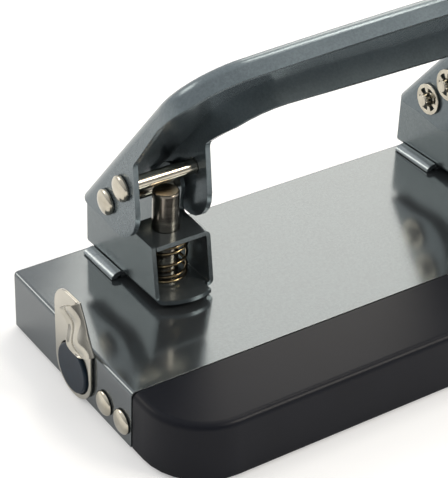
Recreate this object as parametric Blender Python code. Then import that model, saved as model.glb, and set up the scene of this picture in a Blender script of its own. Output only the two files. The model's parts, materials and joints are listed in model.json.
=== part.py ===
# A three-hole punch with one long lever handle, in metres, standing on z = 0.
# X runs along the punch with x = 0 at the middle head, and its user sits at -Y.
# y = 0 is the axis that the handle turns on.
import math

import bpy
import bmesh
from mathutils import Vector

# Driving dimensions of the whole punch
HEAD_SPACING = 0.108
END_MARGIN = 0.0326
SHEET = 0.0015
GAP = 0.0003
OVERRUN = 0.004
PIN_RADIUS = 0.0021
PIVOT_HEIGHT = 0.0234

# Base rail, folded from sheet, open below and in front
RAIL_HEIGHT = 0.0173
RAIL_BACK = 0.0150
RAIL_FRONT = 0.0466
RAIL_CORNER = 0.0014
RAIL_CORNER_INSIDE = 0.0004
RAIL_FOLD = 0.0012
GROUND_CLEARANCE = 0.0012

# Moulded front platform
PLATFORM_FRONT = 0.0690
PLATFORM_INSET = 0.0002
PLATFORM_CORNER = 0.0170
PLATFORM_EDGE = 0.0020
PLATFORM_WALL = 0.0030
LEDGE_DEPTH = 0.0066
LEDGE_THICKNESS = 0.0020
TAB_LENGTH = 0.0160
TAB_THICKNESS = 0.0025
TAB_TOP = 0.0065
TAB_BOTTOM = 0.0150

# Tray that closes the rail below, and the rubber strips under it
TRAY_RISE = 0.0004
TRAY_FLOOR = 0.0020
TRAY_WALL = 0.0015
TRAY_HEIGHT = 0.0095
TRAY_CORNER = 0.0040
TRAY_END_ROOM = 0.0016
STRIP_THICKNESS = 0.0019
STRIP_WIDTH = 0.0080
STRIP_LENGTH = 0.2200
STRIP_CORNER = 0.0030
STRIP_REAR_PLACE = 0.0020
STRIP_FRONT_PLACE = 0.0590

# Foot plates and head brackets
BRACKET_SHEET = 0.0012
SLOT_HEIGHT = 0.0011
SLOT_SLOPE_SHARE = 0.028
FOOT_HALF_WIDTH = 0.0122
FOOT_HEIGHT = 0.0022
FOOT_SHOULDER = 0.0016
FOOT_WEB_DEPTH = 0.0045
FOOT_STOP = 0.0030
FOOT_REAR = 0.0120
WALL_HALF_WIDTH = 0.0090
BRACKET_REAR = 0.0154
BRACKET_HEIGHT = 0.0175
WALL_RISE = 0.0004
BRACKET_REAR_HEIGHT = 0.0164
BEND_OUTSIDE = 0.0016
BEND_INSIDE = 0.0004
BOX_FRONT_TOP = 0.01765
BOX_FRONT_FOOT = 0.0200
LIP_REACH = 0.0040
LIP_RADIUS = 0.0155
LIP_SIDESTEP = 0.0010
LIP_RIGHT_END = 0.0063
LIP_NOTCH = 0.0008
LUG_RADIUS = 0.0054
LUG_FOOT = 0.0070
LUG_FILLET = 0.0040
TOP_PLATE_REAR = 0.0046
TOP_PLATE_BEND_ROOM = 0.0025
RELIEF = 0.0006

# Punches, collars, springs and dies
PUNCH_RADIUS = 0.0036
PUNCH_FORWARD = 0.0100
PUNCH_FOOT = 0.0018
PUNCH_DISH = 0.0008
EDGE_CHAMFER = 0.0003
COLLAR_RADIUS = 0.0063
COLLAR_THICKNESS = 0.0009
COLLAR_GROOVE = 0.0004
SPRING_WIRE = 0.0008
SPRING_RADIUS = 0.0058
SPRING_TURNS = 4.5
SPRING_CURL_POINTS = 10
SPRING_CLOSING_SHARE = 0.6
SPRING_START = math.pi
DIE_RADIUS = 0.0065
DIE_SHOULDER = 0.0010
DIE_DEPTH = 0.0048

# Handle, one stamped channel with three yokes
ARM_ANGLE = math.radians(50.7)
WEB_OFFSET = 0.00778
YOKE_HALF_WIDTH = 0.0116
HANDLE_REACH = 0.0635
BAR_DEPTH = 0.0231
OUTER_BEND = 0.0191
INNER_BEND = 0.0138
OUTER_BOW = 0.0060
INNER_BOW = 0.0021
FOLD_RADIUS = 0.0020
ARM_FLANGE = 0.00515
OUTER_FLANGE = 0.0061
INNER_FLANGE = 0.0083
CHEEK_SIZE = 0.0200
TOE_RADIUS = 0.0095
ELBOW_RADIUS = 0.0030
PRESS_ARM = 0.01105
PRESS_ANGLE = math.radians(47.2)
PRESS_PLAY = 0.0008

# Pin ends, push-nuts and rivets
PIN_PROJECTION = 0.00294
PIN_HEAD_RADIUS = 0.0036
PIN_HEAD_DOME = 0.0007
PIN_HEAD_RIM = 0.0011
PIN_END_RADIUS = 0.0018
NUT_RADIUS = 0.0047
NUT_THICKNESS = 0.0006
NUT_SLOT_RADIUS = 0.0035
NUT_TABS = 6
NUT_TOOTH_SHARE = 0.42
RIVET_RADIUS = 0.0015
RIVET_HEAD_RADIUS = 0.0030
RIVET_DOME = 0.0009
RIVET_RIM = 0.0004
RIVET_TAIL_RADIUS = 0.0026
RIVET_TAIL = 0.0010
RIVET_SIDE = 0.0042
RIVET_BACK = 0.0075
END_RIVET_HEAD_RADIUS = 0.0035
END_RIVET_DEPTH = 0.0117
END_RIVET_REAR = 0.0339
END_RIVET_PITCH = 0.0086

# Side guide on the left end
GUIDE_SHEET = 0.0009
GUIDE_LENGTH = 0.0320
GUIDE_FOLD_GAP = 0.0012
GUIDE_PIVOT_FORWARD = 0.0200
GUIDE_PIVOT_DEPTH = 0.0092
GUIDE_PIVOT_RADIUS = 0.0020
GUIDE_PIVOT_HEAD = 0.0036
TONGUE_WIDTH_SHARE = 0.172
TONGUE_LENGTH_SHARE = 0.450
TONGUE_WAVE = 0.0010
TONGUE_RIM = 0.0004
KNOB_SHARE = 0.219
KNOB_RISE = 0.0008
KNOB_EDGE = 0.0003

ROUND_STEPS = 18
SMALL_STEPS = 12
DECK = GROUND_CLEARANCE + RAIL_HEIGHT
HALF_LENGTH = HEAD_SPACING + END_MARGIN
PIVOT_Z = DECK + PIVOT_HEIGHT
HEADS = {"left": -HEAD_SPACING, "middle": 0, "right": HEAD_SPACING}


def clear_scene():
    for item in list(bpy.data.objects):
        bpy.data.objects.remove(item, do_unlink=True)


def linear(channel):
    share = channel / 255
    return share / 12.92 if share <= 0.04045 else ((share + 0.055) / 1.055) ** 2.4


def material(name, colour, roughness, metallic):
    made = bpy.data.materials.new(name)
    made.use_nodes = True
    shader = made.node_tree.nodes["Principled BSDF"]
    shader.inputs["Base Color"].default_value = [linear(channel) for channel in colour] + [1]
    shader.inputs["Roughness"].default_value = roughness
    shader.inputs["Metallic"].default_value = metallic
    return made


def along_x(u, v, w):
    return Vector((w, u, v))


def along_y(u, v, w):
    return Vector((u, w, v))


def along_z(u, v, w):
    return Vector((u, v, w))


def arc(centre, radius, start, end, steps):
    points = []
    for step in range(steps + 1):
        angle = start + (end - start) * step / steps
        points.append(Vector((centre[0] + radius * math.cos(angle), centre[1] + radius * math.sin(angle))))
    return points


def rounded(corners, steps=5):
    # Each corner is (u, v, radius), and a radius of 0 stays sharp.
    points = []
    for index, (u, v, radius) in enumerate(corners):
        here = Vector((u, v))
        if radius == 0:
            points.append(here)
            continue
        back = (Vector(corners[index - 1][:2]) - here).normalized()
        ahead = (Vector(corners[(index + 1) % len(corners)][:2]) - here).normalized()
        half = back.angle(ahead) / 2
        reach = radius / math.tan(half)
        centre = here + (back + ahead).normalized() * (radius / math.sin(half))
        first = here + back * reach - centre
        last = here + ahead * reach - centre
        start = math.atan2(first.y, first.x)
        sweep = math.atan2(last.y, last.x) - start
        sweep = (sweep + math.pi) % math.tau - math.pi
        points += arc(centre, radius, start, start + sweep, steps)
    return points


def inset(outline, distance):
    area = sum(outline[i - 1].cross(outline[i]) for i in range(len(outline)))
    side = 1 if area > 0 else -1
    moved = []
    for index, here in enumerate(outline):
        into = (here - outline[index - 1]).normalized()
        out = (outline[(index + 1) % len(outline)] - here).normalized()
        first = Vector((-into.y, into.x)) * side
        last = Vector((-out.y, out.x)) * side
        moved.append(here + (first + last) * (distance / (1 + first.dot(last))))
    return moved


def prism(outline, low, high, place=along_z):
    bm = bmesh.new()
    face = bm.faces.new([bm.verts.new(place(u, v, low)) for u, v in outline])
    grown = bmesh.ops.extrude_face_region(bm, geom=[face])
    lifted = [item for item in grown["geom"] if isinstance(item, bmesh.types.BMVert)]
    bmesh.ops.translate(bm, verts=lifted, vec=place(0, 0, high) - place(0, 0, low))
    bmesh.ops.recalc_face_normals(bm, faces=bm.faces)
    return bm


def turned(profile, closed=False, place=along_z, steps=ROUND_STEPS):
    # The profile is (radius, height) pairs, spun about the height axis.
    bm = bmesh.new()
    verts = [bm.verts.new(place(radius, 0, height)) for radius, height in profile]
    edges = [bm.edges.new(pair) for pair in zip(verts, verts[1:])]
    if closed:
        edges.append(bm.edges.new((verts[-1], verts[0])))
    bmesh.ops.spin(bm, geom=verts + edges, cent=(0, 0, 0), axis=place(0, 0, 1), angle=math.tau,
                   steps=steps, use_merge=True)
    bmesh.ops.remove_doubles(bm, verts=bm.verts, dist=GAP / 1000)
    bmesh.ops.recalc_face_normals(bm, faces=bm.faces)
    return bm


def box(low, high):
    corners = [Vector((low[0], low[1])), Vector((high[0], low[1])),
               Vector((high[0], high[1])), Vector((low[0], high[1]))]
    return prism(corners, low[2], high[2])


def rod(radius, low, high, place=along_z, steps=ROUND_STEPS):
    return turned([(0, low), (radius, low), (radius, high), (0, high)], place=place, steps=steps)


def moved(bm, offset):
    bmesh.ops.translate(bm, verts=bm.verts, vec=Vector(offset))
    return bm


def mirrored(bm):
    for vert in bm.verts:
        vert.co.x = -vert.co.x
    bmesh.ops.reverse_faces(bm, faces=bm.faces)
    return bm


def solid(name, bm, look=None, location=(0, 0, 0)):
    mesh = bpy.data.meshes.new(name)
    bm.to_mesh(mesh)
    bm.free()
    made = bpy.data.objects.new(name, mesh)
    bpy.context.collection.objects.link(made)
    made.location = location
    if look:
        finish(made, look)
    return made


def finish(item, look):
    item.data.materials.clear()
    item.data.materials.append(look)
    item.data.shade_smooth()
    item.data.set_sharp_from_angle(angle=math.radians(30))


def combine(target, tools, operation="DIFFERENCE"):
    # Each tool is a bmesh in the target's own frame. The result replaces the target's mesh.
    helpers = []
    for number, tool in enumerate(tools):
        helper = solid(f"{target.name}_tool_{number}", tool, location=target.location)
        helper.hide_render = True
        helper.display_type = "WIRE"
        step = target.modifiers.new(helper.name, "BOOLEAN")
        step.object = helper
        step.operation = operation
        step.solver = "EXACT"
        helpers.append(helper)
    bpy.context.view_layer.update()
    seen = target.evaluated_get(bpy.context.evaluated_depsgraph_get())
    result = bpy.data.meshes.new_from_object(seen)
    target.modifiers.clear()
    target.data = result
    for helper in helpers:
        bpy.data.objects.remove(helper, do_unlink=True)


def crown(radius, rim, dome):
    # A domed head seen in section, from its top at -rim - dome down to its edge at w = 0.
    points = [(0, -rim - dome)]
    for step in range(1, 5):
        angle = step / 5 * math.pi / 2
        points.append((radius * math.sin(angle), -rim - dome * math.cos(angle)))
    return points + [(radius, -rim), (radius, 0)]


def domed_pin(length, end_length, place):
    # A pin along +w with a domed head below w = 0 and a thinner far end that holds a push-nut.
    profile = crown(PIN_HEAD_RADIUS, PIN_HEAD_RIM, PIN_HEAD_DOME)
    profile += [(PIN_RADIUS, 0), (PIN_RADIUS, length - end_length), (PIN_END_RADIUS, length - end_length),
                (PIN_END_RADIUS, length - EDGE_CHAMFER), (PIN_END_RADIUS - EDGE_CHAMFER, length), (0, length)]
    return turned(profile, place=place, steps=ROUND_STEPS)


def make_rail(looks):
    half = HALF_LENGTH
    plan = rounded([(-half, -RAIL_FRONT, 0), (half, -RAIL_FRONT, 0), (half, RAIL_BACK, RAIL_CORNER),
                    (-half, RAIL_BACK, RAIL_CORNER)])
    body = prism(plan, -RAIL_HEIGHT, 0)
    top_edges = [edge for edge in body.edges
                 if all(vert.co.z == 0 for vert in edge.verts)
                 and not all(vert.co.y <= -RAIL_FRONT + GAP for vert in edge.verts)]
    bmesh.ops.bevel(body, geom=top_edges, offset=RAIL_FOLD, segments=3, profile=0.5, affect="EDGES")
    rail = solid("base_rail", body, location=(0, 0, DECK))
    inner = half - SHEET
    hollow = rounded([(-inner, -RAIL_FRONT - OVERRUN, 0), (inner, -RAIL_FRONT - OVERRUN, 0),
                      (inner, RAIL_BACK - SHEET, RAIL_CORNER_INSIDE),
                      (-inner, RAIL_BACK - SHEET, RAIL_CORNER_INSIDE)])
    tools = [prism(hollow, -RAIL_HEIGHT - OVERRUN, -SHEET)]
    for x in HEADS.values():
        tools.append(moved(rod(DIE_RADIUS + GAP, -OVERRUN, OVERRUN), (x, -PUNCH_FORWARD, 0)))
        for side in (-1, 1):
            tools.append(moved(rod(RIVET_RADIUS + GAP, -OVERRUN, OVERRUN, steps=SMALL_STEPS),
                               (x + side * RIVET_SIDE, RIVET_BACK, 0)))
    for side in (-1, 1):
        for number in (0, 1):
            tools.append(moved(rod(RIVET_RADIUS + GAP, -OVERRUN, OVERRUN, along_x, SMALL_STEPS),
                               (side * half, -END_RIVET_REAR - number * END_RIVET_PITCH, -END_RIVET_DEPTH)))
    tools.append(moved(rod(GUIDE_PIVOT_RADIUS + GAP, -OVERRUN, OVERRUN, along_x, SMALL_STEPS),
                       (-half, -GUIDE_PIVOT_FORWARD, -GUIDE_PIVOT_DEPTH)))
    combine(rail, tools)
    finish(rail, looks["paint"])


def make_platform(looks):
    half = HALF_LENGTH - PLATFORM_INSET
    back = -RAIL_FRONT - GAP
    plan = rounded([(half, back, 0), (-half, back, 0), (-half, -PLATFORM_FRONT, PLATFORM_CORNER),
                    (half, -PLATFORM_FRONT, PLATFORM_CORNER)], steps=8)
    body = prism(plan, -RAIL_HEIGHT, 0)
    rim = [edge for edge in body.edges
           if all(vert.co.z == 0 for vert in edge.verts)
           and not all(vert.co.y >= back - GAP for vert in edge.verts)]
    bmesh.ops.bevel(body, geom=rim, offset=PLATFORM_EDGE, segments=3, profile=0.5, affect="EDGES")
    platform = solid("front_platform", body, location=(0, 0, DECK))
    inner = half - PLATFORM_WALL
    room = rounded([(inner, back + OVERRUN, 0), (-inner, back + OVERRUN, 0),
                    (-inner, -PLATFORM_FRONT + PLATFORM_WALL, PLATFORM_CORNER - PLATFORM_WALL),
                    (inner, -PLATFORM_FRONT + PLATFORM_WALL, PLATFORM_CORNER - PLATFORM_WALL)], steps=8)
    combine(platform, [prism(room, -RAIL_HEIGHT + PLATFORM_WALL, -PLATFORM_WALL)])
    reach = HALF_LENGTH - SHEET - GAP
    additions = [box((-reach, back - PLATFORM_WALL, -SHEET - GAP - LEDGE_THICKNESS),
                     (reach, back + LEDGE_DEPTH, -SHEET - GAP))]
    for side in (-1, 1):
        edges = sorted((side * reach, side * (reach - TAB_THICKNESS)))
        additions.append(box((edges[0], back - PLATFORM_WALL, -TAB_BOTTOM),
                             (edges[1], back + TAB_LENGTH, -TAB_TOP)))
    combine(platform, additions, "UNION")
    tools = [moved(prism(strip_outline(GAP), -OVERRUN, STRIP_THICKNESS + GAP - GROUND_CLEARANCE),
                   (0, -STRIP_FRONT_PLACE, -RAIL_HEIGHT))]
    for side in (-1, 1):
        for number in (0, 1):
            tools.append(moved(rod(RIVET_RADIUS + GAP, -TAB_THICKNESS - OVERRUN, TAB_THICKNESS + OVERRUN,
                                   along_x, SMALL_STEPS),
                               (side * reach, -END_RIVET_REAR - number * END_RIVET_PITCH, -END_RIVET_DEPTH)))
    combine(platform, tools)
    finish(platform, looks["black"])


def strip_outline(room=0):
    long = STRIP_LENGTH / 2 + room
    wide = STRIP_WIDTH / 2 + room
    return rounded([(-long, -wide, STRIP_CORNER), (long, -wide, STRIP_CORNER),
                    (long, wide, STRIP_CORNER), (-long, wide, STRIP_CORNER)])


def make_tray(looks):
    half = HALF_LENGTH - SHEET - GAP - TAB_THICKNESS - TRAY_END_ROOM
    front = -RAIL_FRONT
    back = RAIL_BACK - SHEET - GAP
    low = GROUND_CLEARANCE + TRAY_RISE
    plan = rounded([(-half, front, TRAY_CORNER), (half, front, TRAY_CORNER),
                    (half, back, TRAY_CORNER), (-half, back, TRAY_CORNER)])
    tray = solid("chip_tray", prism(plan, low, low + TRAY_HEIGHT))
    tools = [prism(inset(plan, TRAY_WALL), low + TRAY_FLOOR, low + TRAY_HEIGHT + OVERRUN),
             moved(prism(strip_outline(GAP), -OVERRUN, STRIP_THICKNESS + GAP), (0, STRIP_REAR_PLACE, 0))]
    combine(tray, tools)
    finish(tray, looks["black"])
    solid("foot_strip_rear", prism(strip_outline(), 0, STRIP_THICKNESS), looks["rubber"],
          (0, STRIP_REAR_PLACE, 0))
    solid("foot_strip_front", prism(strip_outline(), 0, STRIP_THICKNESS), looks["rubber"],
          (0, -STRIP_FRONT_PLACE, 0))


def sloped(bm):
    # Tilts what stands above the deck so that it follows the underside of the bracket.
    for vert in bm.verts:
        if vert.co.z > (GAP + FOOT_HEIGHT - FOOT_SHOULDER) / 2:
            vert.co.z -= SLOT_SLOPE_SHARE * vert.co.y
    return bm


def make_foot_plate(looks):
    # A saddle: a rib stands at each side of the bracket, and a thin web under it joins them.
    side = WALL_HALF_WIDTH + GAP
    rib = rounded([(side, GAP, 0), (FOOT_HALF_WIDTH, GAP, 0), (FOOT_HALF_WIDTH, FOOT_HEIGHT, FOOT_SHOULDER),
                   (side, FOOT_HEIGHT, 0)])
    reach = (side + FOOT_HALF_WIDTH) / 2
    web = [Vector((-reach, GAP)), Vector((reach, GAP)), Vector((reach, SLOT_HEIGHT - GAP)),
           Vector((-reach, SLOT_HEIGHT - GAP))]
    plate = solid("foot_plate", sloped(prism(rib, -FOOT_STOP, FOOT_REAR, along_y)))
    combine(plate, [mirrored(sloped(prism(rib, -FOOT_STOP, FOOT_REAR, along_y))),
                    sloped(prism(web, -FOOT_STOP, FOOT_WEB_DEPTH - FOOT_STOP, along_y))], "UNION")
    finish(plate, looks["paint"])
    return plate


def wall_top(front_height, notch_place):
    # The line along a wall's upper edge, from the rear to the front, in (y, z).
    slope = math.pi / 2 - ARM_ANGLE
    pivot = (0, PIVOT_HEIGHT)
    lug = arc(pivot, LUG_RADIUS, slope, math.pi, 9)
    run = (lug[0].y - BRACKET_REAR_HEIGHT) / math.tan(ARM_ANGLE)
    rear = [Vector((BRACKET_REAR + OVERRUN, BRACKET_REAR_HEIGHT)),
            Vector((lug[0].x + run, BRACKET_REAR_HEIGHT))]
    corner = rounded([(lug[-1].x, lug[-1].y, 0), (-notch_place, front_height, LUG_FILLET),
                      (-BOX_FRONT_FOOT, front_height, 0)])
    return rear + lug + corner[1:]


def make_bracket(looks):
    wide = WALL_HALF_WIDTH
    inner = wide - BRACKET_SHEET
    tall = PIVOT_HEIGHT + LUG_RADIUS + OVERRUN
    low = SLOT_HEIGHT
    front = BOX_FRONT_FOOT + LIP_REACH + GAP
    section = rounded([(-wide, tall, 0), (-wide, low, BEND_OUTSIDE), (wide, low, BEND_OUTSIDE), (wide, tall, 0),
                       (inner, tall, 0), (inner, low + BRACKET_SHEET, BEND_INSIDE),
                       (-inner, low + BRACKET_SHEET, BEND_INSIDE), (-inner, tall, 0)])
    body = prism(section, -front, BRACKET_REAR, along_y)
    for vert in body.verts:
        if vert.co.z < tall / 2:
            vert.co.z -= SLOT_SLOPE_SHARE * vert.co.y
    bracket = solid("head_bracket", body)

    far = -front - OVERRUN
    high = tall + OVERRUN
    left_line = wall_top(BRACKET_HEIGHT + WALL_RISE, LUG_FOOT)
    right_line = wall_top(BRACKET_HEIGHT - TOP_PLATE_BEND_ROOM, TOP_PLATE_REAR - RELIEF)
    close = [Vector((far, high)), Vector((BRACKET_REAR + OVERRUN, high))]
    left_tool = prism(left_line + [Vector((far, BRACKET_HEIGHT + WALL_RISE))] + close,
                      -wide - OVERRUN, 0, along_x)
    right_tool = prism(right_line + [Vector((far, BRACKET_HEIGHT - TOP_PLATE_BEND_ROOM))] + close,
                       0, wide + OVERRUN, along_x)
    combine(bracket, [left_tool, right_tool])

    free_end = GAP - inner
    plate_foot = BRACKET_HEIGHT - 2 * TOP_PLATE_BEND_ROOM
    plate_low = BRACKET_HEIGHT - BRACKET_SHEET
    plate = rounded([(inner, plate_foot, 0), (wide, plate_foot, 0), (wide, BRACKET_HEIGHT, BEND_OUTSIDE),
                     (free_end, BRACKET_HEIGHT, 0), (free_end, plate_low, 0), (inner, plate_low, BEND_INSIDE)])
    combine(bracket, [prism(plate, -front, -TOP_PLATE_REAR, along_y)], "UNION")

    plate_top = low + BRACKET_SHEET + SLOT_SLOPE_SHARE * BOX_FRONT_FOOT + GAP
    lean = [Vector((-BOX_FRONT_TOP + GAP, high)), Vector((-BOX_FRONT_TOP, BRACKET_HEIGHT)),
            Vector((-BOX_FRONT_FOOT, plate_top)), Vector((far, plate_top)), Vector((far, high))]
    beyond = wide + OVERRUN
    lip_centre = (LIP_SIDESTEP, LIP_RADIUS - BOX_FRONT_FOOT - LIP_REACH)
    first = math.asin((wide + LIP_SIDESTEP) / LIP_RADIUS)
    last = math.asin((LIP_RIGHT_END - LIP_SIDESTEP) / LIP_RADIUS)
    lip = arc(lip_centre, LIP_RADIUS, -math.pi / 2 - first, -math.pi / 2 + last, 12)
    notch_end = LIP_RIGHT_END + LIP_NOTCH
    lip = [Vector((-beyond, lip[0].y))] + lip + [
        Vector((LIP_RIGHT_END, LIP_NOTCH - BOX_FRONT_FOOT)), Vector((notch_end, LIP_NOTCH - BOX_FRONT_FOOT)),
        Vector((notch_end, -BOX_FRONT_FOOT)), Vector((beyond, -BOX_FRONT_FOOT)), Vector((beyond, far)),
        Vector((-beyond, far))]
    combine(bracket, [prism(lean, -beyond, beyond, along_x), prism(lip, 0, plate_top + GAP)])

    bore = PUNCH_RADIUS + GAP
    tools = [moved(rod(bore, 0, tall), (0, -PUNCH_FORWARD, 0)),
             moved(rod(PIN_RADIUS + GAP, -beyond, beyond, along_x), (0, 0, PIVOT_HEIGHT))]
    for side in (-1, 1):
        tools.append(moved(rod(RIVET_RADIUS + GAP, 0, low + BRACKET_SHEET + OVERRUN, steps=SMALL_STEPS),
                           (side * RIVET_SIDE, RIVET_BACK, 0)))
    combine(bracket, tools)
    finish(bracket, looks["paint"])
    return bracket


def press_place():
    return -PRESS_ARM * math.cos(PRESS_ANGLE), PRESS_ARM * math.sin(PRESS_ANGLE)


def collar_top():
    return BRACKET_HEIGHT - BRACKET_SHEET - GAP


def make_punch(looks):
    top = PIVOT_HEIGHT + press_place()[1] - PIN_RADIUS - PRESS_PLAY
    groove_top = collar_top() + GAP
    groove_low = collar_top() - COLLAR_THICKNESS - GAP
    neck = PUNCH_RADIUS - COLLAR_GROOVE
    profile = [(0, PUNCH_FOOT + PUNCH_DISH), (PUNCH_RADIUS, PUNCH_FOOT), (PUNCH_RADIUS, groove_low),
               (neck, groove_low), (neck, groove_top), (PUNCH_RADIUS, groove_top),
               (PUNCH_RADIUS, top - EDGE_CHAMFER), (PUNCH_RADIUS - EDGE_CHAMFER, top),
               (PUNCH_RADIUS - PUNCH_DISH, top), (0, top - EDGE_CHAMFER)]
    punch = solid("punch_pin", turned(profile), looks["steel"])
    ring_low = collar_top() - COLLAR_THICKNESS
    ring_inside = neck + GAP
    ring = [(ring_inside, ring_low), (COLLAR_RADIUS, ring_low), (COLLAR_RADIUS, collar_top()),
            (ring_inside, collar_top())]
    collar = solid("spring_collar", turned(ring, closed=True), looks["nickel"])
    inside = PUNCH_RADIUS + GAP
    die = [(inside, 0), (inside, -DIE_DEPTH), (DIE_RADIUS + DIE_SHOULDER, -DIE_DEPTH),
           (DIE_RADIUS + DIE_SHOULDER, -SHEET - GAP), (DIE_RADIUS, -SHEET - GAP), (DIE_RADIUS, 0)]
    block = solid("die", turned(die, closed=True), looks["steel"])
    return punch, collar, block


def spring_points():
    # One unbroken wire: a straight foot, closed turns at both ends and open turns between.
    foot = SLOT_HEIGHT + BRACKET_SHEET + SLOT_SLOPE_SHARE * (PUNCH_FORWARD + SPRING_RADIUS) + GAP
    head = collar_top() - COLLAR_THICKNESS - GAP
    rise = head - foot - 2 * SPRING_WIRE
    count = round(SPRING_TURNS * SPRING_CURL_POINTS)
    points = [Vector((SPRING_RADIUS * math.cos(SPRING_START), SPRING_RADIUS * math.sin(SPRING_START), foot))]
    for step in range(count + 1):
        share = step / count
        climb = share - SPRING_CLOSING_SHARE * math.sin(math.tau * share) / math.tau
        angle = SPRING_START + math.tau * SPRING_TURNS * share
        points.append(Vector((SPRING_RADIUS * math.cos(angle), SPRING_RADIUS * math.sin(angle),
                              foot + SPRING_WIRE + rise * climb)))
    points.append(points[-1] + Vector((0, 0, SPRING_WIRE)))
    return points


def least_spring_gap(points):
    least = SPRING_RADIUS
    for first in range(len(points)):
        for second in range(first + SPRING_CURL_POINTS // 2 + 1, len(points)):
            least = min(least, (points[first] - points[second]).length - SPRING_WIRE)
    return least


def make_spring(name, x, look):
    points = spring_points()
    wire = bpy.data.curves.new(name, "CURVE")
    wire.dimensions = "3D"
    wire.bevel_depth = SPRING_WIRE / 2
    wire.bevel_resolution = 1
    wire.use_fill_caps = True
    wire.resolution_u = 1
    run = wire.splines.new("POLY")
    run.points.add(len(points) - 1)
    for place, point in zip(run.points, points):
        place.co = (point.x, point.y, point.z, 1)
    wire.materials.append(look)
    spring = bpy.data.objects.new(name, wire)
    spring.location = (x, -PUNCH_FORWARD, DECK)
    bpy.context.collection.objects.link(spring)


def half_outline():
    # The left half of the handle's outline in (x, a), where a runs up the arm from the pivot.
    left = -HEAD_SPACING
    below = -CHEEK_SIZE
    side = left - YOKE_HALF_WIDTH
    slope = 2 * OUTER_BOW / (HEAD_SPACING - OUTER_BEND + YOKE_HALF_WIDTH)
    turn = math.pi / 2 - math.atan(slope)
    centre = (side + OUTER_BEND, HANDLE_REACH - OUTER_BEND)
    outer = [Vector((side, below))] + arc(centre, OUTER_BEND, math.pi, math.pi - turn, 12)
    start = outer[-1]
    rise = HANDLE_REACH + OUTER_BOW - start.y
    for step in range(1, 9):
        share = step / 8
        outer.append(Vector((start.x * (1 - share), start.y + rise * (1 - (1 - share) ** 2))))
    level = HANDLE_REACH - BAR_DEPTH
    leg = left + YOKE_HALF_WIDTH
    inner = [Vector((leg, below))]
    inner += arc((leg + INNER_BEND, level - INNER_BEND), INNER_BEND, math.pi, math.pi / 2, 6)
    first = leg + INNER_BEND
    last = -YOKE_HALF_WIDTH - INNER_BEND
    for step in range(1, 5):
        x = first + (last - first) * step / 5
        inner.append(Vector((x, level - INNER_BOW * (1 - (x / first) ** 2))))
    low = level - INNER_BOW * (1 - (last / first) ** 2)
    inner += arc((last, low - INNER_BEND), INNER_BEND, math.pi / 2, 0, 6)
    inner.append(Vector((-YOKE_HALF_WIDTH, below)))
    return outer, inner


def flip(points):
    return [Vector((-point.x, point.y)) for point in points]


def side_line(arm_points, toe_share):
    # The free edge of the cheeks and flanges in (a, n), from the tip of the cheek up the arm.
    tip_share, heel_share = (-0.646, -0.393), (-0.602, -0.212)
    waist_share, elbow_share = (-0.380, 0.053), (1.058, -0.065)
    tip = Vector(tip_share) * CHEEK_SIZE
    heel = Vector(heel_share) * CHEEK_SIZE
    before_tip = tip + (tip - heel)
    corners = [(*before_tip, 0), (*heel, FOLD_RADIUS), (*(Vector(waist_share) * CHEEK_SIZE), 0),
               (*(Vector(toe_share) * CHEEK_SIZE), TOE_RADIUS),
               (*(Vector(elbow_share) * CHEEK_SIZE), ELBOW_RADIUS)]
    corners += [(*point, 0) for point in arm_points]
    far = (HANDLE_REACH + OUTER_BOW + OVERRUN, 2 * CHEEK_SIZE)
    corners += [(far[0], far[1], 0), (-far[1], far[1], 0), (-far[1], -far[1] / 2, 0)]
    return rounded(corners, 6)


def make_handle(looks, hinge):
    outer, inner = half_outline()
    outline = outer + flip(outer)[-2::-1] + flip(inner) + inner[::-1]
    deep = CHEEK_SIZE
    body = prism(outline, -WEB_OFFSET, deep)
    rim = [edge for edge in body.edges if all(abs(vert.co.z + WEB_OFFSET) < GAP for vert in edge.verts)]
    bmesh.ops.bevel(body, geom=rim, offset=FOLD_RADIUS, segments=2, profile=0.5, affect="EDGES")
    handle = solid("handle", body)
    combine(handle, [prism(inset(outline, SHEET), -WEB_OFFSET + SHEET, deep + OVERRUN)])

    top = HANDLE_REACH + OUTER_BOW + OVERRUN
    level = HANDLE_REACH - BAR_DEPTH
    bar_edge = OUTER_FLANGE - WEB_OFFSET
    outer_edge = [Vector((level, ARM_FLANGE - WEB_OFFSET)), Vector((HANDLE_REACH - OUTER_BEND / 2, bar_edge)),
                  Vector((top, bar_edge))]
    inner_edge = [Vector((level - INNER_BEND / 2, INNER_FLANGE - WEB_OFFSET)),
                  Vector((level + BAR_DEPTH / 3, INNER_FLANGE - WEB_OFFSET)),
                  Vector((HANDLE_REACH - BAR_DEPTH / 3, bar_edge)), Vector((top, bar_edge))]
    far = HEAD_SPACING + YOKE_HALF_WIDTH + OVERRUN
    outer_toe_share, inner_toe_share = (0.146, 0.858), (0.146, 0.905)
    tools = [prism(side_line(outer_edge, outer_toe_share), -far, -HEAD_SPACING, along_x),
             prism(side_line(inner_edge, inner_toe_share), -HEAD_SPACING, HEAD_SPACING, along_x),
             prism(side_line(outer_edge, outer_toe_share), HEAD_SPACING, far, along_x)]
    combine(handle, tools)

    tilt = ARM_ANGLE - PRESS_ANGLE
    press = (0, PRESS_ARM * math.cos(tilt), PRESS_ARM * math.sin(tilt))
    hole = PIN_RADIUS + GAP
    combine(handle, [rod(hole, -far, far, along_x), moved(rod(hole, -far, far, along_x), press)])
    finish(handle, looks["paint"])
    handle.rotation_euler.x = math.pi - ARM_ANGLE
    handle.parent = hinge


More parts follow.
